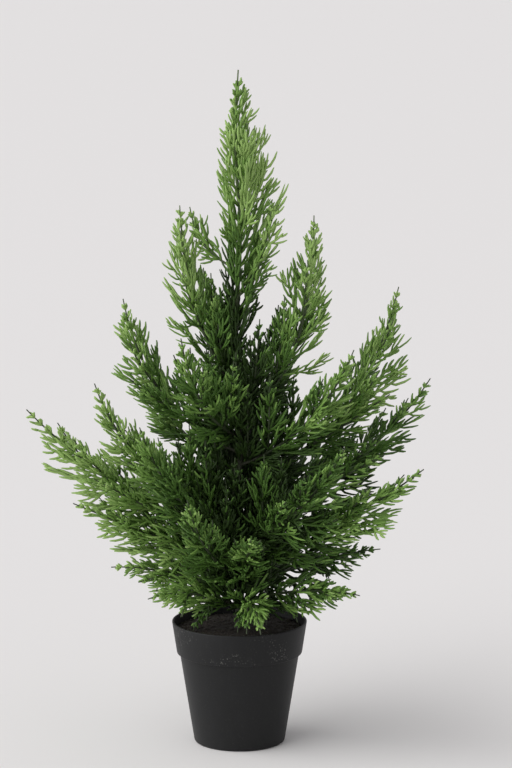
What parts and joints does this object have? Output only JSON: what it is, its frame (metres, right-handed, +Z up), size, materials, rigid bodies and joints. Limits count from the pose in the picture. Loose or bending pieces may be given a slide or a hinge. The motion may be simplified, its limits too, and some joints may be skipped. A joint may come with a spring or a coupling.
{
  "type": "artificial potted thuja",
  "caption": "Upright cone-shaped artificial thuja with feathery green sprays on rising boughs round one stem, in a plain round black plastic pot.",
  "frame": {"origin": "middle of the pot's flat underside", "axes": "+Z up along the stem, -Y to the front of the plant, +X to its right as seen from the front"},
  "size_m": [0.3572, 0.2472, 0.598],
  "materials": {
    "black_plastic": "matte",
    "soil": "matte",
    "stem_green": "satin",
    "leaf_green": "satin"
  },
  "bodies": {
    "root": {"bough_bottom_left": "stem_green", "bough_bottom_left_front": "stem_green", "bough_bottom_rear_left": "stem_green", "bough_bottom_rear_right": "stem_green", "bough_bottom_right": "stem_green", "bough_bottom_right_front": "stem_green", "bough_far_left": "stem_green", "bough_far_right": "stem_green", "bough_front_centre": "stem_green", "bough_front_left": "stem_green", "bough_front_left_low": "stem_green", "bough_front_low": "stem_green", "bough_front_right": "stem_green", "bough_left_second": "stem_green", "bough_low_left": "stem_green", "bough_low_rear": "stem_green", "bough_low_rear_left": "stem_green", "bough_low_rear_right": "stem_green", "bough_low_right_front": "stem_green", "bough_mid_left": "stem_green", "bough_mid_left_front": "stem_green", "bough_mid_rear_left": "stem_green", "bough_mid_rear_right": "stem_green", "bough_mid_right": "stem_green", "bough_mid_right_front": "stem_green", "bough_upper_left": "stem_green", "bough_upper_rear": "stem_green", "bough_upper_right": "stem_green", "fill": "soil", "foliage_bottom_left": "leaf_green", "foliage_bottom_left_front": "leaf_green", "foliage_bottom_rear_left": "leaf_green", "foliage_bottom_rear_right": "leaf_green", "foliage_bottom_right": "leaf_green", "foliage_bottom_right_front": "leaf_green", "foliage_far_left": "leaf_green", "foliage_far_right": "leaf_green", "foliage_front_centre": "leaf_green", "foliage_front_left": "leaf_green", "foliage_front_left_low": "leaf_green", "foliage_front_low": "leaf_green", "foliage_front_right": "leaf_green", "foliage_leader": "leaf_green", "foliage_left_second": "leaf_green", "foliage_low_left": "leaf_green", "foliage_low_rear": "leaf_green", "foliage_low_rear_left": "leaf_green", "foliage_low_rear_right": "leaf_green", "foliage_low_right_front": "leaf_green", "foliage_mid_left": "leaf_green", "foliage_mid_left_front": "leaf_green", "foliage_mid_rear_left": "leaf_green", "foliage_mid_rear_right": "leaf_green", "foliage_mid_right": "leaf_green", "foliage_mid_right_front": "leaf_green", "foliage_upper_left": "leaf_green", "foliage_upper_rear": "leaf_green", "foliage_upper_right": "leaf_green", "pot": "black_plastic", "trunk": "stem_green"}
  },
  "joints": []
}
